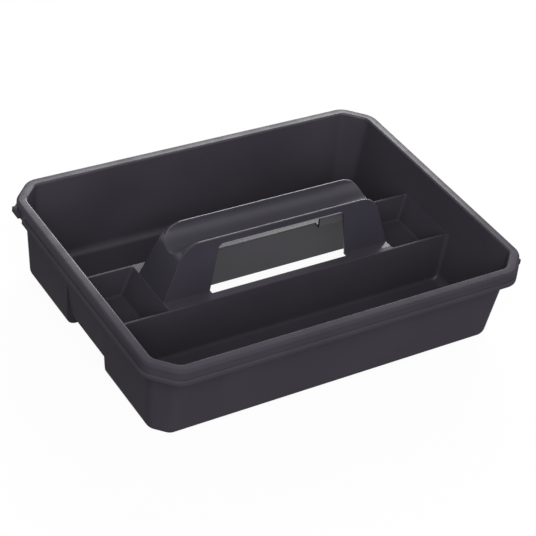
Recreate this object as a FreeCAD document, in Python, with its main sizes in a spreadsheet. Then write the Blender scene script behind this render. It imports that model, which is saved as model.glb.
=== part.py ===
import FreeCAD, Part
import math
import os
import Sketcher

# Tool caddy: one thermoplastic moulding with two long bins, two small wells and a hollow carrying handle.
# Millimetres. +X runs along the length, +Y to the back, +Z up. The origin is on the table, under the middle.
# The moulding is made as three bodies of plastic (tub, rim, centre), which are then parted along its
# natural lines into named panels that meet face to face.

doc = FreeCAD.newDocument("tool_caddy")
sheet = doc.addObject("Spreadsheet::Sheet", "Sizes")


class Size:
    """A length together with the sheet formula that drives it."""

    def __init__(self, value, formula):
        self.value = float(value)
        self.formula = formula

    def __add__(self, other):
        other = as_size(other)
        return Size(self.value + other.value, f"({self.formula} + {other.formula})")

    def __sub__(self, other):
        other = as_size(other)
        return Size(self.value - other.value, f"({self.formula} - {other.formula})")

    def __mul__(self, other):
        other = as_size(other)
        return Size(self.value * other.value, f"({self.formula} * {other.formula})")

    def __truediv__(self, other):
        other = as_size(other)
        return Size(self.value / other.value, f"({self.formula} / {other.formula})")

    def __neg__(self):
        return Size(-self.value, f"(0 - {self.formula})")


def as_size(number):
    if isinstance(number, Size):
        return number
    return Size(number, f"({float(number)})")


def size(alias, value):
    """Put a driving dimension in the next row of the sheet and return it."""
    size.row += 1
    sheet.set(f"A{size.row}", alias)
    sheet.set(f"B{size.row}", str(value))
    sheet.setAlias(f"B{size.row}", alias)
    return Size(value, f"Sizes.{alias}")


size.row = 0

# Tub: the opening at the rim, its cut corners, and walls that lean in towards the base
opening_length = size("opening_length", 380)
opening_width = size("opening_width", 274)
corner_cut = size("corner_cut", 18)
rim_height = size("rim_height", 89)
wall = size("wall", 2.3)
wall_taper = size("wall_taper", 8.7)
corner_round = size("corner_round", 12)
base_round = size("base_round", 11)
floor_thickness = size("floor_thickness", 2.5)

# Rim: a flat flange with a thick edge and a turned-down skirt, which ends in a flared band.
# The band has a notch and a straight tab at two corners.
rim_width = size("rim_width", 9.5)
rim_thickness = size("rim_thickness", 2.4)
rim_edge_round = size("rim_edge_round", 2.4)
opening_edge_round = size("opening_edge_round", 1.8)
bead_height = size("bead_height", 4.2)
bead_step = size("bead_step", 0.6)
skirt_depth = size("skirt_depth", 14.3)
skirt_wall = size("skirt_wall", 2)
band_height = size("band_height", 4.2)
band_step = size("band_step", 1.6)
notch_length = size("notch_length", 8)
notch_from_corner = size("notch_from_corner", 7)
tab_length = size("tab_length", 12.5)
tab_height = size("tab_height", 5.4)

# Centre: two long dividers, a small well at each end and the block that carries the handle
divider_height = size("divider_height", 53)
divider_wall = size("divider_wall", 2.3)
divider_gap = size("divider_gap", 68)
divider_lean = size("divider_lean", 4.1)
well_depth = size("well_depth", 29)
well_side_taper = size("well_side_taper", 1.7)
well_end_taper = size("well_end_taper", 5.4)
bin_foot_round = size("bin_foot_round", 3.5)
well_foot_round = size("well_foot_round", 2.5)
end_wall_lift = size("end_wall_lift", 16)

# Handle: a hollow hump with sloping ends, a half-round grip and a window through both walls
handle_height = size("handle_height", 107)
handle_base_length = size("handle_base_length", 244)
handle_top_length = size("handle_top_length", 205)
handle_base_width = size("handle_base_width", 47)
handle_top_width = size("handle_top_width", 35.4)
shoulder_round = size("shoulder_round", 24)
grip_radius = size("grip_radius", 16.2)
lip_round = size("lip_round", 0.5)
window_drop = size("window_drop", 7)
window_top_length = size("window_top_length", 134)
window_base_length = size("window_base_length", 148)
window_round = size("window_round", 5)
ledge_strip = size("ledge_strip", 8.6)
edge_round = size("edge_round", 0.9)

# How far a cutting tool runs past what it cuts
overrun = 5.0


def bind(item, path, length):
    item.setExpression(path, as_size(length).formula)


def new_body(name):
    return doc.addObject("PartDesign::Body", name)


def polygon(body, role, points, height=None):
    """A closed outline on one of the body's own planes, with every corner driven by the sheet."""
    plane = [item for item in body.Origin.OriginFeatures if item.Role == role][0]
    sketch = body.newObject("Sketcher::SketchObject", body.Name + "_outline")
    sketch.AttachmentSupport = [(plane, "")]
    sketch.MapMode = "FlatFace"
    if height is not None:
        bind(sketch, "AttachmentOffset.Base.z", height)
    corners = [(as_size(across), as_size(up)) for across, up in points]
    vectors = [FreeCAD.Vector(across.value, up.value, 0) for across, up in corners]
    count = len(corners)
    for index in range(count):
        sketch.addGeometry(Part.LineSegment(vectors[index], vectors[(index + 1) % count]), False)
    for index in range(count):
        sketch.addConstraint(Sketcher.Constraint("Coincident", index, 2, (index + 1) % count, 1))
    for index, (across, up) in enumerate(corners):
        for kind, length in (("DistanceX", across), ("DistanceY", up)):
            row = sketch.addConstraint(Sketcher.Constraint(kind, -1, 1, index, 1, length.value))
            name = f"{kind}{index}"
            sketch.renameConstraint(row, name)
            bind(sketch, "Constraints." + name, length)
    return sketch


def prism(name, role, points, length):
    """An outline padded to both sides of its plane."""
    body = new_body(name)
    pad = body.newObject("PartDesign::Pad", name + "_pad")
    pad.Profile = polygon(body, role, points)
    pad.SideType = "Symmetric"
    bind(pad, "Length", length)
    return body


def octagon(body, offset, height):
    """The opening's outline with cut corners, grown by an offset, at a height."""
    half_length = opening_length / 2 + offset
    half_width = opening_width / 2 + offset
    leg = corner_cut + as_size(offset) * (2 - math.sqrt(2))
    points = [
        (half_length, half_width - leg),
        (half_length - leg, half_width),
        (-half_length + leg, half_width),
        (-half_length, half_width - leg),
        (-half_length, -half_width + leg),
        (-half_length + leg, -half_width),
        (half_length - leg, -half_width),
        (half_length, -half_width + leg),
    ]
    return polygon(body, "XY_Plane", points, height)


def edges_where(feature, test):
    """Names of a feature's edges whose two ends pass a test."""
    names = []
    for number, edge in enumerate(feature.Shape.Edges, start=1):
        ends = [vertex.Point for vertex in edge.Vertexes]
        if len(ends) == 2 and test(ends[0], ends[1]):
            names.append(f"Edge{number}")
    return names


def rounded(body, feature, test, radius, kind="Fillet"):
    """Round or chamfer the edges of a body's last feature that pass a test."""
    doc.recompute()
    dress = body.newObject("PartDesign::" + kind, f"{feature.Name}_{kind.lower()}")
    dress.Base = (feature, edges_where(feature, test))
    bind(dress, "Radius" if kind == "Fillet" else "Size", radius)
    doc.recompute()
    return dress


def at_height(height):
    return lambda a, b: abs(a.z - height.value) < 0.01 and abs(b.z - height.value) < 0.01


def crossing(height):
    """Edges at a height that run across the caddy."""
    level = at_height(height)
    return lambda a, b: level(a, b) and abs(a.x - b.x) < 0.01


def lengthwise(height):
    """Edges at a height that run along the caddy."""
    level = at_height(height)
    return lambda a, b: level(a, b) and abs(a.y - b.y) < 0.01


def upright(a, b):
    return abs(a.z - b.z) > 0.5 * max(1.0, math.hypot(a.x - b.x, a.y - b.y))


def faces_where(feature, test):
    """Names of a feature's faces whose normal passes a test."""
    names = []
    for number, face in enumerate(feature.Shape.Faces, start=1):
        if test(face.normalAt(0, 0)):
            names.append(f"Face{number}")
    return names


def tapered_tub(name, bottom, offset, upright_round, foot_round):
    """The tub's form from a height up to the rim, drafted, and rounded at its corners and its foot."""
    body = new_body(name)
    pad = body.newObject("PartDesign::Pad", name + "_pad")
    pad.Profile = octagon(body, offset, rim_height)
    pad.Reversed = True
    bind(pad, "Length", rim_height - bottom)
    doc.recompute()
    draft = body.newObject("PartDesign::Draft", name + "_draft")
    draft.Base = (pad, faces_where(pad, lambda normal: abs(normal.z) < 0.5))
    draft.NeutralPlane = (pad, faces_where(pad, lambda normal: normal.z > 0.5))
    draft.Reversed = True
    draft.setExpression("Angle", f"atan({(wall_taper / rim_height).formula})")
    corners = rounded(body, draft, upright, upright_round)
    rounded(body, corners, at_height(as_size(bottom)), foot_round)
    return body


def octagon_block(name, offset, bottom, height, upright_round):
    """A straight block of the opening's outline, grown by an offset, with rounded corners."""
    body = new_body(name)
    pad = body.newObject("PartDesign::Pad", name + "_pad")
    pad.Profile = octagon(body, offset, bottom)
    bind(pad, "Length", height)
    return body, rounded(body, pad, upright, upright_round)


def combine(kind, name, base, tool):
    """A boolean of two solids: Cut, Common or Fuse."""
    result = doc.addObject("Part::" + kind, name)
    result.Base = base
    result.Tool = tool
    return result


def softened(name, source, test, radius):
    """A boolean's solid with the edges that pass a test rounded."""
    doc.recompute()
    item = doc.addObject("Part::Fillet", name)
    item.Base = source
    numbers = [int(edge[4:]) for edge in edges_where(source, test)]
    item.Edges = [(number, radius.value, radius.value) for number in numbers]
    doc.recompute()
    return item


def box(name, corners):
    """A box between two heights, two depths and two lengths."""
    (left, right), (front, back), (bottom, top) = corners
    item = doc.addObject("Part::Box", name)
    bind(item, "Length", as_size(right) - left)
    bind(item, "Width", as_size(back) - front)
    bind(item, "Height", as_size(top) - bottom)
    bind(item, "Placement.Base.x", left)
    bind(item, "Placement.Base.y", front)
    bind(item, "Placement.Base.z", bottom)
    return item


half_length = opening_length / 2
half_width = opening_width / 2
skirt_bottom = rim_height - skirt_depth
wall_top = rim_height - rim_thickness
inner_round = corner_round - wall

# Tub: outer form and inner form
tub_outer = tapered_tub("tub_outer", 0, wall, corner_round, base_round)
tub_inner = tapered_tub("tub_inner", floor_thickness, 0, inner_round, base_round - wall)

# Rim: flange, skirt, band and tabs, less the space behind the skirt and the opening
flange, flange_block = octagon_block(
    "flange", rim_width, rim_height - bead_height, bead_height, inner_round + rim_width
)
rounded(flange, flange_block, at_height(rim_height), rim_edge_round)
skirt_offset = rim_width - bead_step
skirt, skirt_block = octagon_block(
    "skirt", skirt_offset, skirt_bottom, skirt_depth - bead_height, inner_round + skirt_offset
)
band, band_block = octagon_block(
    "band", rim_width + band_step, skirt_bottom, band_height, inner_round + rim_width + band_step
)
rounded(band, band_block, at_height(skirt_bottom + band_height), band_step * 0.9, "Chamfer")
space, space_block = octagon_block(
    "skirt_space",
    skirt_offset - skirt_wall,
    skirt_bottom - overrun,
    skirt_depth + overrun - rim_thickness,
    inner_round + skirt_offset - skirt_wall,
)

# Tabs: straight pieces of the band, one by the rear left corner and one by the front right corner
tab_start = half_width - corner_cut - notch_from_corner
tab_outside = half_length + rim_width + band_step
left_tab = box("left_tab", (
    (-tab_outside, -half_length - skirt_offset + skirt_wall),
    (tab_start, tab_start + tab_length),
    (skirt_bottom, skirt_bottom + tab_height),
))
right_tab = box("right_tab", (
    (half_length + skirt_offset - skirt_wall, tab_outside),
    (-tab_start - tab_length, -tab_start),
    (skirt_bottom, skirt_bottom + tab_height),
))
rim_solid = doc.addObject("Part::MultiFuse", "rim_solid")
rim_solid.Shapes = [flange, skirt, band, left_tab, right_tab]
rim_hollow = combine("Cut", "rim_hollow", rim_solid, space)
rim_cut = combine("Cut", "rim_cut", rim_hollow, tub_inner)


def round_the_opening(a, b):
    """Edges of the opening, at the top of the rim."""
    inside = all(abs(p.x) < half_length.value + 0.1 and abs(p.y) < half_width.value + 0.1 for p in (a, b))
    return inside and at_height(rim_height)(a, b)


rim_ring = softened("rim_ring", rim_cut, round_the_opening, opening_edge_round)

# Notches in the band, beside the tabs
notch_outside = tab_outside + overrun
left_notch = box("left_notch", (
    (-notch_outside, -half_length - skirt_offset),
    (tab_start - notch_length, tab_start),
    (skirt_bottom - overrun, skirt_bottom + band_height),
))
right_notch = box("right_notch", (
    (half_length + skirt_offset, notch_outside),
    (-tab_start, -tab_start + notch_length),
    (skirt_bottom - overrun, skirt_bottom + band_height),
))
notches = combine("Fuse", "notches", left_notch, right_notch)
rim = combine("Cut", "rim", rim_ring, notches)

# Centre block: between the bin faces of the dividers, as long as the tub
divider_face = divider_gap / 2 + divider_wall
divider_foot = divider_face + divider_lean
through_length = opening_length + (rim_width + overrun) * 2
block_prism = prism("block_prism", "YZ_Plane", [
    (-divider_foot, 0), (divider_foot, 0), (divider_face, divider_height), (-divider_face, divider_height),
], through_length)
block_soft = softened("block_soft", block_prism, lengthwise(divider_height), edge_round)
block = combine("Common", "block", block_soft, tub_outer)


def divider_face_at(height):
    """Where the bin side of a divider stands at a height, from the middle."""
    return divider_face + divider_lean / divider_height * (divider_height - height)


def on_divider_face(a, b):
    """Edges of a bin's space along its divider, but not the top one."""
    both = all(abs(abs(p.y) - divider_face_at(p.z).value) < 0.01 for p in (a, b))
    return both and not at_height(divider_height)(a, b)


# Inside of the tub: the space above the dividers, and below it one bin on each side with a rounded foot
beyond = opening_length
whole = (-beyond, beyond)
above_zone = box("above_zone", (whole, whole, (divider_height, rim_height)))
inside = doc.addObject("Part::MultiFuse", "inside")
spaces = [combine("Common", "upper_space", tub_inner, above_zone)]
for place, span in (("front", (-beyond, 0)), ("rear", (0, beyond))):
    side_zone = box(place + "_side_zone", (whole, span, (-overrun, divider_height)))
    side_space = combine("Common", place + "_side_space", tub_inner, side_zone)
    bin_sharp = combine("Cut", place + "_bin_sharp", side_space, block_prism)
    spaces.append(softened(place + "_bin_space", bin_sharp, on_divider_face, bin_foot_round))
inside.Shapes = spaces
inside.Refine = True
tub_shell = combine("Cut", "tub_shell", tub_outer, inside)

# Slope of the handle's ends, as length lost for each millimetre of height
handle_rise = handle_height - divider_height
end_slope = (handle_base_length - handle_top_length) / 2 / handle_rise
end_wall_at_ledge = half_length - wall_taper * (rim_height - divider_height) / rim_height
well_floor = divider_height - well_depth


def slope_at(height):
    """Where the handle's end stands at a height, from the middle."""
    return handle_base_length / 2 - end_slope * (as_size(height) - divider_height)


def end_wall_at(height):
    """Where the inner face of a well's end wall stands at a height, from the middle."""
    return end_wall_at_ledge - well_end_taper / well_depth * (divider_height - height)


# Wells: sides and ends both lean in
well_sides = prism("well_sides", "YZ_Plane", [
    (-divider_gap / 2 + well_side_taper, well_floor),
    (divider_gap / 2 - well_side_taper, well_floor),
    (divider_gap / 2, divider_height),
    (-divider_gap / 2, divider_height),
], through_length)


def well(name, side):
    ends = prism(name + "_ends", "XZ_Plane", [
        (slope_at(well_floor) * side, well_floor),
        (end_wall_at(well_floor) * side, well_floor),
        (end_wall_at_ledge * side, divider_height),
        (handle_base_length / 2 * side, divider_height),
    ], divider_gap * 2)
    sharp = combine("Common", name + "_sharp", ends, well_sides)
    below_top = lambda a, b: not at_height(divider_height)(a, b)
    return softened(name, sharp, below_top, well_foot_round)


left_well = well("left_well", -1)
right_well = well("right_well", 1)
wells = combine("Fuse", "wells", left_well, right_well)
block_cut = combine("Cut", "block_cut", block, wells)


def on_well_side(a, b):
    """Top edges of the dividers on the side of the wells."""
    both = all(abs(abs(p.y) - divider_gap.value / 2) < 0.01 for p in (a, b))
    return both and lengthwise(divider_height)(a, b)


block_with_wells = softened("block_with_wells", block_cut, on_well_side, edge_round)

# Hump: sloping ends with round shoulders, and side walls that lean in
hump_side = prism("hump_side", "XZ_Plane", [
    (-handle_base_length / 2, divider_height),
    (handle_base_length / 2, divider_height),
    (handle_top_length / 2, handle_height),
    (-handle_top_length / 2, handle_height),
], handle_base_width * 2)
rounded(hump_side, hump_side.Tip, crossing(handle_height), shoulder_round)


def hump_wall_at(height):
    """Where the outer face of the handle's side wall stands at a height, from the middle."""
    lean = (handle_base_width - handle_top_width) / 2 / handle_rise
    return handle_base_width / 2 - lean * (as_size(height) - divider_height)


hump_section = prism("hump_section", "YZ_Plane", [
    (-handle_base_width / 2, divider_height),
    (handle_base_width / 2, divider_height),
    (handle_top_width / 2, handle_height),
    (-handle_top_width / 2, handle_height),
], through_length)
hump_sharp = combine("Common", "hump_sharp", hump_side, hump_section)


def on_hump_wall(point):
    return abs(abs(point.y) - hump_wall_at(point.z).value) < 0.01


def round_the_hump(a, b):
    """Edges where a side wall of the hump meets its ends, shoulders and top."""
    same_wall = a.y * b.y > 0 and on_hump_wall(a) and on_hump_wall(b)
    return same_wall and not at_height(divider_height)(a, b)


hump = softened("hump", hump_sharp, round_the_hump, edge_round)
centre_solid = combine("Fuse", "centre_solid", block_with_wells, hump)

# Hollow under the centre: its outline along the length, then its section
hollow_top = handle_height - wall
ledge_under = divider_height - wall
floor_under = well_floor - wall
outside = half_length + rim_width + overrun
under_right = [
    (slope_at(hollow_top) - wall, hollow_top),
    (slope_at(floor_under) - wall, floor_under),
    (end_wall_at(floor_under), floor_under),
    (end_wall_at(end_wall_lift), end_wall_lift),
    (end_wall_at(end_wall_lift) + wall, end_wall_lift),
    (end_wall_at_ledge + wall, divider_height),
    (outside, divider_height),
    (outside, -overrun),
]
under_left = [(-across, up) for across, up in reversed(under_right)]
under_side = prism("under_side", "XZ_Plane", under_right + under_left, divider_gap * 2)
rounded(under_side, under_side.Tip, crossing(hollow_top), shoulder_round - wall)


def divider_back_at(height):
    """Where the hollow side of a divider stands at a height, from the middle."""
    return divider_gap / 2 + divider_lean / divider_height * (divider_height - height)


section_right = [
    (divider_back_at(-overrun), -overrun),
    (divider_back_at(ledge_under), ledge_under),
    (hump_wall_at(ledge_under) - wall, ledge_under),
    (hump_wall_at(hollow_top) - wall, hollow_top),
]
section_left = [(-across, up) for across, up in reversed(section_right)]
under_section = prism("under_section", "YZ_Plane", section_right + section_left, through_length)
under = combine("Common", "under", under_side, under_section)


def grip_rod(name, radius):
    """A round bar along the handle's lips."""
    rod = doc.addObject("Part::Cylinder", name)
    bind(rod, "Radius", radius)
    bind(rod, "Height", through_length)
    rod.Placement.Rotation = FreeCAD.Rotation(FreeCAD.Vector(0, 1, 0), -90)
    bind(rod, "Placement.Base.x", through_length / 2)
    bind(rod, "Placement.Base.z", handle_height)
    return rod


grip = grip_rod("grip", grip_radius)
grip_sleeve = grip_rod("grip_sleeve", grip_radius + wall)
hollow = combine("Cut", "hollow", under, grip_sleeve)

# Window: through both side walls and into the ledges, but not through the grip
window_top = handle_height - window_drop
window_prism = prism("window_prism", "XZ_Plane", [
    (-window_base_length / 2, ledge_under - overrun),
    (window_base_length / 2, ledge_under - overrun),
    (window_base_length / 2, divider_height),
    (window_top_length / 2, window_top),
    (-window_top_length / 2, window_top),
    (-window_base_length / 2, divider_height),
], (divider_face - ledge_strip) * 2)
rounded(window_prism, window_prism.Tip, crossing(window_top), window_round)
window = combine("Cut", "window", window_prism, grip_sleeve)

centre_shell = combine("Cut", "centre_shell", centre_solid, hollow)
centre_sharp = combine("Cut", "centre_sharp", centre_shell, grip)


def on_grip(point):
    return abs(math.hypot(point.y, point.z - handle_height.value) - grip_radius.value) < 0.01


centre_grip = softened("centre_grip", centre_sharp, lambda a, b: on_grip(a) and on_grip(b), lip_round)
centre = combine("Cut", "centre", centre_grip, window)

# Parting the tub and the rim: the four cut corners first, then straight panels
foot_share = 0.3
foot_inset = wall_taper + (base_round - wall) * foot_share
corner_line = (half_length + half_width - corner_cut) / math.sqrt(2) - foot_inset


def corner_zone(name, along, across):
    """A box that holds one cut corner, turned to face it."""
    turn = math.degrees(math.atan2(across, along))
    cosine = math.cos(math.radians(turn))
    sine = math.sin(math.radians(turn))
    item = doc.addObject("Part::Box", name)
    bind(item, "Length", beyond)
    bind(item, "Width", opening_width)
    bind(item, "Height", beyond)
    item.Placement.Rotation = FreeCAD.Rotation(FreeCAD.Vector(0, 0, 1), turn)
    bind(item, "Placement.Base.x", corner_line * cosine + half_width * sine)
    bind(item, "Placement.Base.y", corner_line * sine - half_width * cosine)
    bind(item, "Placement.Base.z", -overrun)
    return item


below_rim = box("below_rim", ((-beyond, beyond), (-beyond, beyond), (-overrun, wall_top)))
tub = combine("Common", "tub", tub_shell, below_rim)
corner_sides = {"rear_right": (1, 1), "rear_left": (-1, 1), "front_left": (-1, -1), "front_right": (1, -1)}
corner_zones = {place: corner_zone(place + "_zone", *sides) for place, sides in corner_sides.items()}
all_corners = doc.addObject("Part::MultiFuse", "all_corners")
all_corners.Shapes = list(corner_zones.values())
tub_straight = combine("Cut", "tub_straight", tub, all_corners)
bin_panels = combine("Cut", "bin_panels", tub_straight, block_prism)
rim_rails = combine("Cut", "rim_rails", rim, all_corners)

panels = []


def panel(name, source, corners):
    """One named panel: what a source solid has inside a box."""
    item = combine("Common", name, source, box(name + "_zone", corners))
    panels.append(item)
    return item


full_height = (-overrun, beyond)
floor_x = half_length - foot_inset
floor_y = half_width - foot_inset
front = (-beyond, -floor_y)
rear = (floor_y, beyond)
left = (-beyond, -floor_x)
right = (floor_x, beyond)
between_ends = (-floor_x, floor_x)
between_sides = (-floor_y, floor_y)

for place, zone in corner_zones.items():
    panels.append(combine("Common", place + "_corner", tub, zone))
    panels.append(combine("Common", place + "_rim_corner", rim, zone))

panel("front_rim", rim_rails, (whole, front, full_height))
panel("rear_rim", rim_rails, (whole, rear, full_height))
panel("left_rim", rim_rails, (left, between_sides, full_height))
panel("right_rim", rim_rails, (right, between_sides, full_height))
panel("front_wall", bin_panels, (whole, front, full_height))
panel("rear_wall", bin_panels, (whole, rear, full_height))

front_bin = (-floor_y, -divider_face)
rear_bin = (divider_face, floor_y)
for bin_name, span in (("front_bin", front_bin), ("rear_bin", rear_bin)):
    panel(bin_name + "_floor", bin_panels, (between_ends, span, full_height))
    panel(bin_name + "_left_end", bin_panels, (left, span, full_height))
    panel(bin_name + "_right_end", bin_panels, (right, span, full_height))

# Parting the centre: dividers, wells, ledges, then the handle above the ledges
divider_line = divider_gap / 2 - well_side_taper - divider_wall / 2
below_ledge = (-overrun, divider_height)
above_ledge = (divider_height, beyond)
in_strip = (-divider_line, divider_line)
end_line = end_wall_at(end_wall_lift) - wall
foot_line = slope_at(well_floor) + wall
ledge_end = handle_base_length / 2 - wall * 2
grip_line = grip_radius - wall / 3
grip_end = handle_top_length / 2 - wall * 2

panel("front_divider", centre, (whole, (-beyond, -divider_line), below_ledge))
panel("rear_divider", centre, (whole, (divider_line, beyond), below_ledge))


def span_on(side, near, far):
    """A stretch along the length on one side of the middle."""
    if side < 0:
        return (-as_size(far), -as_size(near))
    return (as_size(near), as_size(far))


between_dividers = (-divider_face, divider_face)
for place, side in (("left", -1), ("right", 1)):
    beyond_floor = span_on(side, floor_x, beyond)
    upper = combine("Common", place + "_end_upper", bin_panels, box(
        place + "_end_upper_zone", (beyond_floor, between_dividers, above_ledge)
    ))
    lower = combine("Common", place + "_end_lower", centre, box(
        place + "_end_lower_zone", (span_on(side, end_line, beyond), in_strip, below_ledge)
    ))
    panels.append(combine("Fuse", place + "_well_end_wall", upper, lower))
    panel(place + "_well_floor", centre, (span_on(side, foot_line, end_line), in_strip, below_ledge))
    panel(place + "_well_inner_wall", centre, (span_on(side, ledge_end, foot_line), in_strip, below_ledge))
    panel("handle_" + place + "_end", centre, (
        span_on(side, grip_end, beyond), (-grip_line, grip_line), above_ledge
    ))

along_ledge = (-ledge_end, ledge_end)
panel("front_ledge", centre, (along_ledge, (-divider_line, 0), below_ledge))
panel("rear_ledge", centre, (along_ledge, (0, divider_line), below_ledge))
panel("handle_front_wall", centre, (whole, (-beyond, -grip_line), above_ledge))
panel("handle_rear_wall", centre, (whole, (grip_line, beyond), above_ledge))
panel("grip_trough", centre, ((-grip_end, grip_end), (-grip_line, grip_line), above_ledge))

doc.recompute()
faults = [item.Name for item in doc.Objects if "Invalid" in item.State or "Error" in item.State]
for item in panels:
    shape = item.Shape
    if shape.isNull() or not shape.isValid() or len(shape.Solids) != 1:
        faults.append(f"{item.Name}: {len(shape.Solids)} solids")
if faults:
    raise RuntimeError("failed: " + ", ".join(faults))

os.makedirs("parts", exist_ok=True)
for item in panels:
    item.Label = item.Name
    item.Shape.exportStep(f"parts/{item.Label}.step")
print(len(panels), "panels")
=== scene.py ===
import math

import bpy
from mathutils import Matrix, Vector


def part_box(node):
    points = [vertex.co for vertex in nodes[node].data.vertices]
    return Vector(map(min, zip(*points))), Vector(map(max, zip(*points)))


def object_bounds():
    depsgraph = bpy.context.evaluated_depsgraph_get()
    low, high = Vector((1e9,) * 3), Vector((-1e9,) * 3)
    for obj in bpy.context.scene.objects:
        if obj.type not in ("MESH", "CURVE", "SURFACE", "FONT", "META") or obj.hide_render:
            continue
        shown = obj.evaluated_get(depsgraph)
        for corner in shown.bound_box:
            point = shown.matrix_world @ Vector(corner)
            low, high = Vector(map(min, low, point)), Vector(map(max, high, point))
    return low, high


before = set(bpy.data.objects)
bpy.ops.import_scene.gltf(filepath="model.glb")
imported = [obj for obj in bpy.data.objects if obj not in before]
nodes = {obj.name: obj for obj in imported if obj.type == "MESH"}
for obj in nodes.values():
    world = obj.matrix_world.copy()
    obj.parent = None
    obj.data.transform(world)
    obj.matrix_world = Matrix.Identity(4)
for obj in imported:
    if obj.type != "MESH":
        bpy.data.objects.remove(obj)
cad_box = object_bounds()

# Tub: drafted walls, cut corners, the floors of the two long bins and the outer ends of the wells.
# It is injection-moulded polypropylene, dyed through in violet charcoal, with faint clouds from its flow.
# An eroded mould leaves a fine dull grain, and tools have rubbed the round foot of the bins smooth.
MM = 0.001
CHARCOAL = (0.0545, 0.0488, 0.0624)
CLOUD_SIZE = 70 * MM
CLOUD_RANGE = (0.3, 0.7)
CLOUD_TONES = (0.94, 1.06)
CLOUD_DETAIL = 4.0
GRAIN_SIZE = 0.42 * MM
GRAIN_DEPTH = 0.04 * MM
GRAIN_STRENGTH = 0.35
GRAIN_DETAIL = 2.0
PLASTIC_IOR = 1.49
TUB_SHEEN = 0.008
TUB_DULLNESS = (0.44, 0.54)
RIM_REACH = 11.1 * MM
OPENING_CORNER_CUT = 18 * MM
FOOT_RADIUS = 8.7 * MM
FOOT_AXIS_INSET = 16.35 * MM
FOOT_AXIS_HEIGHT = 11.2 * MM
FOOT_FROM_FLOOR = (2.6 * MM, 3.5 * MM)
FOOT_TO_WALL = (6.9 * MM, 9.5 * MM)
FOOT_SHINE = 0.4
FOOT_ROUGHNESS = 0.3
HALF_WALL = 1.15 * MM


def between(tree, value, start, end, low, high):
    """A number that goes smoothly from low to high as a value goes from start to end."""
    ramp = tree.nodes.new("ShaderNodeMapRange")
    ramp.interpolation_type = "SMOOTHSTEP"
    ramp.inputs["From Min"].default_value = start
    ramp.inputs["From Max"].default_value = end
    ramp.inputs["To Min"].default_value = low
    ramp.inputs["To Max"].default_value = high
    tree.links.new(value, ramp.inputs["Value"])
    return ramp.outputs["Result"]


def moulded_plastic(name, dye, sheen, dullness):
    """Dyed plastic with a fine grain, and with clouds in its colour and gloss."""
    material = bpy.data.materials.new(name)
    material.use_nodes = True
    tree = material.node_tree
    plastic = tree.nodes["Principled BSDF"]
    plastic.inputs["IOR"].default_value = PLASTIC_IOR
    plastic.inputs["Specular IOR Level"].default_value = sheen
    place = tree.nodes.new("ShaderNodeTexCoord")
    place.name = "place"

    clouds = tree.nodes.new("ShaderNodeTexNoise")
    clouds.inputs["Scale"].default_value = 1 / CLOUD_SIZE
    clouds.inputs["Detail"].default_value = CLOUD_DETAIL
    tree.links.new(place.outputs["Object"], clouds.inputs["Vector"])

    tone = tree.nodes.new("ShaderNodeVectorMath")
    tone.operation = "SCALE"
    tone.inputs[0].default_value = dye
    paleness = between(tree, clouds.outputs["Fac"], *CLOUD_RANGE, *CLOUD_TONES)
    tree.links.new(paleness, tone.inputs["Scale"])
    tree.links.new(tone.outputs["Vector"], plastic.inputs["Base Color"])
    dull = between(tree, clouds.outputs["Fac"], *CLOUD_RANGE, *dullness)
    tree.links.new(dull, plastic.inputs["Roughness"])

    grain = tree.nodes.new("ShaderNodeTexNoise")
    grain.inputs["Scale"].default_value = 1 / GRAIN_SIZE
    grain.inputs["Detail"].default_value = GRAIN_DETAIL
    tree.links.new(place.outputs["Object"], grain.inputs["Vector"])
    relief = tree.nodes.new("ShaderNodeBump")
    relief.inputs["Strength"].default_value = GRAIN_STRENGTH
    relief.inputs["Distance"].default_value = GRAIN_DEPTH
    tree.links.new(grain.outputs["Fac"], relief.inputs["Height"])
    tree.links.new(relief.outputs["Normal"], plastic.inputs["Normal"])
    return material


def math_node(tree, operation, *values):
    """A Math node fed by numbers or by other nodes' outputs. Returns its output."""
    node = tree.nodes.new("ShaderNodeMath")
    node.operation = operation
    for socket, value in zip(node.inputs, values):
        if isinstance(value, bpy.types.NodeSocket):
            tree.links.new(value, socket)
        else:
            socket.default_value = value
    return node.outputs["Value"]


def measured_place(tree):
    """How far the surface is from the middle, along and across, and its height. Returns outputs."""
    axes = tree.nodes.new("ShaderNodeSeparateXYZ")
    axes.name = "axes"
    tree.links.new(tree.nodes["place"].outputs["Object"], axes.inputs["Vector"])
    along = math_node(tree, "ABSOLUTE", axes.outputs["X"])
    across = math_node(tree, "ABSOLUTE", axes.outputs["Y"])
    return along, across, axes.outputs["Z"]


def past_opening(tree, along, across):
    """How far a place lies outside the tub's opening, which has cut corners. Returns an output."""
    half_length = cad_box[1].x - RIM_REACH
    half_width = cad_box[1].y - RIM_REACH
    corner_reach = half_length + half_width - OPENING_CORNER_CUT
    past_end = math_node(tree, "SUBTRACT", along, half_length)
    past_side = math_node(tree, "SUBTRACT", across, half_width)
    to_corner = math_node(tree, "SUBTRACT", math_node(tree, "ADD", along, across), corner_reach)
    past_corner = math_node(tree, "MULTIPLY", to_corner, math.sqrt(0.5))
    past_straight = math_node(tree, "MAXIMUM", past_end, past_side)
    return math_node(tree, "MAXIMUM", past_straight, past_corner)


def shine_where(material, amount, roughness):
    """A smooth skin on the plastic, as strong as an amount says."""
    tree = material.node_tree
    plastic = tree.nodes["Principled BSDF"]
    plastic.inputs["Coat Roughness"].default_value = roughness
    tree.links.new(amount, plastic.inputs["Coat Weight"])


def finish_in(material, names):
    """Give CAD nodes a material."""
    for name in names:
        mesh = nodes[name].data
        mesh.materials.clear()
        mesh.materials.append(material)


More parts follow.
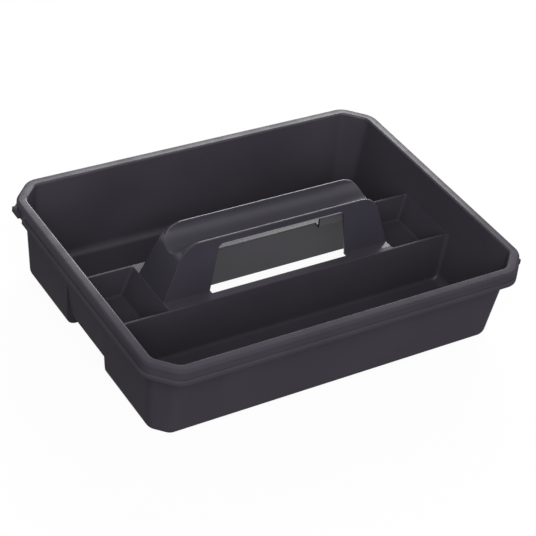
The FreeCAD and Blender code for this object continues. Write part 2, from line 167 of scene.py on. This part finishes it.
tub_plastic = moulded_plastic("grained_charcoal", CHARCOAL, TUB_SHEEN, TUB_DULLNESS)
tree = tub_plastic.node_tree
along, across, height = measured_place(tree)
past_axis = math_node(tree, "ADD", past_opening(tree, along, across), FOOT_AXIS_INSET)
above_axis = math_node(tree, "SUBTRACT", height, FOOT_AXIS_HEIGHT)
height_squared = math_node(tree, "MULTIPLY", above_axis, above_axis)
from_axis = math_node(tree, "SQRT", math_node(tree, "MULTIPLY_ADD", past_axis, past_axis, height_squared))
inside = math_node(tree, "LESS_THAN", from_axis, FOOT_RADIUS + HALF_WALL)
above_floor = between(tree, height, *FOOT_FROM_FLOOR, 0.0, FOOT_SHINE)
below_wall = between(tree, height, *FOOT_TO_WALL, 1.0, 0.0)
round_shine = math_node(tree, "MULTIPLY", above_floor, below_wall)
shine_where(tub_plastic, math_node(tree, "MULTIPLY", round_shine, inside), FOOT_ROUGHNESS)
# The rim, the wells and the handle get finishes of their own below
tub_names = [name for name in nodes if name.endswith(("wall", "corner", "end", "bin_floor"))]
finish_in(tub_plastic, tub_names)

# Rim: a flat flange round the opening, with a thick edge, a turned-down skirt and a flared band.
# It is part of the same shot. Hands and other caddies rub it smooth, most at the back and at the edge
# of the opening, and the shine fades across the flange in soft scuffed patches.
RUBBED_ROUGHNESS = 0.26
RUBBED_SHINE = 0.5
RUBBED_WIDTH = 13 * MM
SCUFF_SIZE = 16 * MM
SCUFF_DETAIL = 1.0
SCUFF_RANGE = (0.4, 0.6)
SCUFF_SHARE = (0.75, 1.0)
FRONT_RIM = (-135 * MM, 40 * MM)
FRONT_SHARE = 0.2
rubbed_rim = moulded_plastic("charcoal_rim", CHARCOAL, TUB_SHEEN, TUB_DULLNESS)
tree = rubbed_rim.node_tree
along, across, _ = measured_place(tree)
past_edge = past_opening(tree, along, across)
edge_shine = between(tree, past_edge, 0.0, RUBBED_WIDTH, RUBBED_SHINE, 0.0)
scuffs = tree.nodes.new("ShaderNodeTexNoise")
scuffs.inputs["Scale"].default_value = 1 / SCUFF_SIZE
scuffs.inputs["Detail"].default_value = SCUFF_DETAIL
tree.links.new(tree.nodes["place"].outputs["Object"], scuffs.inputs["Vector"])
scuffed_share = between(tree, scuffs.outputs["Fac"], *SCUFF_RANGE, *SCUFF_SHARE)
front_share = between(tree, tree.nodes["axes"].outputs["Y"], *FRONT_RIM, FRONT_SHARE, 1.0)
side_shine = math_node(tree, "MULTIPLY", edge_shine, front_share)
shine_where(rubbed_rim, math_node(tree, "MULTIPLY", side_shine, scuffed_share), RUBBED_ROUGHNESS)
finish_in(rubbed_rim, [name for name in nodes if "rim" in name])

# Dividers, wells and ledges: the walls between the bins, the wells and the strips beside the handle.
# The same shot again. Their flat tops and the hollow under the handle come off polished steel,
# and fingers have dulled the front ledge below the window.
TOP_DEPTH = 0.5 * MM
DULLED_LENGTHS = (92 * MM, 114 * MM)
HOLLOW_HALF_LENGTH = 120.8 * MM
HANDLE_END_SLOPE = 19.5 / 54
HOLLOW_HALF_WIDTH = 34.4 * MM
HOLLOW_SHINE = 0.7
BACK_LEDGE_SHINE = 0.36
DIVIDER_LEAN = 4.1 / 53
LEDGE_ROUGHNESS = 0.14
LEDGE_END_SHINE = 0.5
DIVIDER_ROUGHNESS = 0.3
DIVIDER_END_SHINE = 0.25


def polished_tops(name, roughness, end_shine):
    """Plastic with a shine on its flat tops, inside the tub, and in the hollow under the handle."""
    material = moulded_plastic(name, CHARCOAL, TUB_SHEEN, TUB_DULLNESS)
    tree = material.node_tree
    along, across, height = measured_place(tree)
    ledge_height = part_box("front_ledge")[1].z
    well_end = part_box("right_well_floor")[1].x
    below_top = math_node(tree, "SUBTRACT", ledge_height, height)
    near_top = math_node(tree, "LESS_THAN", below_top, TOP_DEPTH)
    inside = math_node(tree, "LESS_THAN", along, well_end)
    at_top = math_node(tree, "MULTIPLY", near_top, inside)
    past_window = between(tree, along, *DULLED_LENGTHS, 0.0, end_shine)
    at_back = math_node(tree, "GREATER_THAN", tree.nodes["axes"].outputs["Y"], 0.0)
    back_shine = math_node(tree, "MULTIPLY", at_back, BACK_LEDGE_SHINE)
    untouched = math_node(tree, "MAXIMUM", past_window, back_shine)
    top_shine = math_node(tree, "MULTIPLY", at_top, untouched)
    leaned = math_node(tree, "MULTIPLY_ADD", below_top, -DIVIDER_LEAN, across)
    behind_divider = math_node(tree, "LESS_THAN", leaned, HOLLOW_HALF_WIDTH)
    upright_length = math_node(tree, "MULTIPLY_ADD", below_top, -HANDLE_END_SLOPE, along)
    below_handle = math_node(tree, "LESS_THAN", upright_length, HOLLOW_HALF_LENGTH)
    under_ledge = math_node(tree, "GREATER_THAN", below_top, TOP_DEPTH)
    between_dividers = math_node(tree, "MULTIPLY", behind_divider, below_handle)
    in_hollow = math_node(tree, "MULTIPLY", between_dividers, under_ledge)
    hollow_shine = math_node(tree, "MULTIPLY", in_hollow, HOLLOW_SHINE)
    shine_where(material, math_node(tree, "MAXIMUM", top_shine, hollow_shine), roughness)
    return material


well_and_ledge_names = [name for name in nodes if name.endswith(("ledge", "well_floor", "inner_wall"))]
finish_in(polished_tops("charcoal_ledge", LEDGE_ROUGHNESS, LEDGE_END_SHINE), well_and_ledge_names)
divider_names = ["front_divider", "rear_divider"]
finish_in(polished_tops("charcoal_divider", DIVIDER_ROUGHNESS, DIVIDER_END_SHINE), divider_names)

# Handle: a hollow hump with sloping ends, a window through both walls and a half-round grip.
# It stands on the ledges as part of the same shot. Its colour is darker than the rest of the moulding as
# painted shade. Hands have rubbed its grip and lips smooth, and the hollow side comes off polished steel
# like the rest of the underside.
# Painted shade: the handle's charcoal is darker than the moulding's own colour, standing in for shade on
# the hump.
SHADED_HANDLE_CHARCOAL = (0.0446, 0.0408, 0.0546)
HANDLE_SHEEN = 0.1
HANDLE_DULLNESS = (0.36, 0.46)
GRIP_RADIUS = 16.2 * MM
GRIP_SIDES = (9.5 * MM, 15 * MM)
GRIP_SHINE = 0.7
GRIP_BOTTOM_SHINE = 0.22
LIP_SHINE = 0.75
LIP_DEPTH = 0.5 * MM
LIP_ROUGHNESS = 0.28
WALL_MIDDLE = 22.35 * MM
WALL_LEAN = 5.8 / 54
WINDOW_TOP = 98 * MM
rubbed_handle = moulded_plastic("charcoal_handle", SHADED_HANDLE_CHARCOAL, HANDLE_SHEEN, HANDLE_DULLNESS)
tree = rubbed_handle.node_tree
_, across, height = measured_place(tree)
lip_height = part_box("handle_front_wall")[1].z
ledge_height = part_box("front_ledge")[1].z
below_lip = math_node(tree, "SUBTRACT", lip_height, height)
at_lip = math_node(tree, "LESS_THAN", below_lip, LIP_DEPTH)
depth_squared = math_node(tree, "MULTIPLY", below_lip, below_lip)
from_axis = math_node(tree, "SQRT", math_node(tree, "MULTIPLY_ADD", across, across, depth_squared))
on_grip = math_node(tree, "LESS_THAN", from_axis, GRIP_RADIUS + LIP_DEPTH)
above_ledge = math_node(tree, "SUBTRACT", height, ledge_height)
upright_width = math_node(tree, "MULTIPLY_ADD", above_ledge, WALL_LEAN, across)
behind_wall = math_node(tree, "LESS_THAN", upright_width, WALL_MIDDLE)
under_grip = math_node(tree, "LESS_THAN", height, WINDOW_TOP)
in_hollow = math_node(tree, "MULTIPLY", behind_wall, under_grip)
lip_shine = math_node(tree, "MULTIPLY", at_lip, LIP_SHINE)
palm_shine = between(tree, below_lip, *GRIP_SIDES, GRIP_SHINE, GRIP_BOTTOM_SHINE)
grip_shine = math_node(tree, "MULTIPLY", on_grip, palm_shine)
off_grip = math_node(tree, "SUBTRACT", 1.0, on_grip)
under_handle = math_node(tree, "MULTIPLY", in_hollow, off_grip)
hollow_shine = math_node(tree, "MULTIPLY", under_handle, HOLLOW_SHINE)
hand_shine = math_node(tree, "MAXIMUM", lip_shine, grip_shine)
shine_where(rubbed_handle, math_node(tree, "MAXIMUM", hand_shine, hollow_shine), LIP_ROUGHNESS)
finish_in(rubbed_handle, [name for name in nodes if "handle" in name or "grip" in name])

# Floor: a plain matt studio table that the caddy stands on and throws its soft shadow on.
# It is white in view, and grey for the light that it throws back.
FLOOR_SIZE = 8.0
TABLE_GREY = 0.12
TABLE_WHITE = 0.9
GLOW_STRENGTH = 1.0
GLOW_HIDDEN = 0.05
GLOW_IN_VIEW = 0.95
bpy.ops.mesh.primitive_plane_add(size=FLOOR_SIZE, location=(0, 0, 0))
floor = bpy.context.object
floor.name = "studio_floor"


def in_view(tree):
    """One where the background is seen, directly, in gloss or through glass. Returns an output."""
    path = tree.nodes.new("ShaderNodeLightPath")
    mirrored = math_node(tree, "MAXIMUM", path.outputs["Is Camera Ray"], path.outputs["Is Glossy Ray"])
    return math_node(tree, "MAXIMUM", mirrored, path.outputs["Is Transmission Ray"])


def by_view(tree, seen, hidden, shown):
    """A number that differs between what is seen and what only lights the caddy. Returns an output."""
    choice = tree.nodes.new("ShaderNodeMapRange")
    choice.inputs["To Min"].default_value = hidden
    choice.inputs["To Max"].default_value = shown
    tree.links.new(seen, choice.inputs["Value"])
    return choice.outputs["Result"]


table_top = bpy.data.materials.new("white_table")
table_top.use_nodes = True
tree = table_top.node_tree
tree.nodes.remove(tree.nodes["Principled BSDF"])
seen = in_view(tree)
matt = tree.nodes.new("ShaderNodeBsdfDiffuse")
tree.links.new(by_view(tree, seen, TABLE_GREY, TABLE_WHITE), matt.inputs["Color"])
glow = tree.nodes.new("ShaderNodeEmission")
glow.inputs["Strength"].default_value = GLOW_STRENGTH
blend = tree.nodes.new("ShaderNodeMixShader")
tree.links.new(by_view(tree, seen, GLOW_HIDDEN, GLOW_IN_VIEW), blend.inputs["Fac"])
tree.links.new(matt.outputs[0], blend.inputs[1])
tree.links.new(glow.outputs[0], blend.inputs[2])
tree.links.new(blend.outputs[0], tree.nodes["Material Output"].inputs["Surface"])
floor.data.materials.append(table_top)

# Room and lamps: an even white room that lights the caddy dimly,
# with a large panel behind it on the right, a key lamp on the left and a fill lamp in front.
ROOM_LIGHT = 0.3
ROOM_IN_VIEW = 1.0
WHITE = (1.0, 1.0, 1.0, 1.0)
world = bpy.data.worlds.new("white_room")
bpy.context.scene.world = world
world.use_nodes = True
tree = world.node_tree
background = tree.nodes["Background"]
background.inputs["Color"].default_value = WHITE
tree.links.new(by_view(tree, in_view(tree), ROOM_LIGHT, ROOM_IN_VIEW), background.inputs["Strength"])


def soft_box(name, azimuth, elevation, distance, width, height, power):
    """A rectangular lamp that faces the caddy. The azimuth turns from the back to the right."""
    turn = math.radians(azimuth)
    tilt = math.radians(elevation)
    flat = distance * math.cos(tilt)
    place = Vector((flat * math.sin(turn), flat * math.cos(turn), distance * math.sin(tilt)))
    bpy.ops.object.light_add(type="AREA", location=place)
    lamp = bpy.context.object
    lamp.name = name
    lamp.data.shape = "RECTANGLE"
    lamp.data.size = width
    lamp.data.size_y = height
    lamp.data.energy = power
    middle = (cad_box[0] + cad_box[1]) / 2
    lamp.rotation_euler = (middle - place).to_track_quat("-Z", "Y").to_euler()


soft_box("back_panel", azimuth=40, elevation=22, distance=2.2, width=2.0, height=1.3, power=64)
soft_box("key_lamp", azimuth=217, elevation=42, distance=2.2, width=1.5, height=1.5, power=31)
soft_box("fill_lamp", azimuth=175, elevation=15, distance=2.4, width=1.2, height=1.0, power=15)

# Camera: a long lens from the front left, above the caddy, rolled a little to the left.
# Its place and axes were found from the corners of the caddy in the picture.
STAND = Vector((-0.78463, -1.03633, 1.02519))
RIGHT = Vector((0.84394, -0.52095, 0.12798))
UP = Vector((0.23344, 0.57146, 0.78674))
AHEAD = Vector((0.48298, 0.63408, -0.60389))
SENSOR_WIDTH = 36.0
FOCAL_PIXELS = 1743.05
PICTURE_PIXELS = 536
bpy.ops.object.camera_add(location=STAND)
camera = bpy.context.object
camera.name = "studio_camera"
camera.data.sensor_width = SENSOR_WIDTH
camera.data.lens = FOCAL_PIXELS / PICTURE_PIXELS * SENSOR_WIDTH
camera.rotation_euler = Matrix((RIGHT, UP, -AHEAD)).transposed().to_euler()
bpy.context.scene.camera = camera
bpy.context.scene.view_settings.view_transform = "Standard"
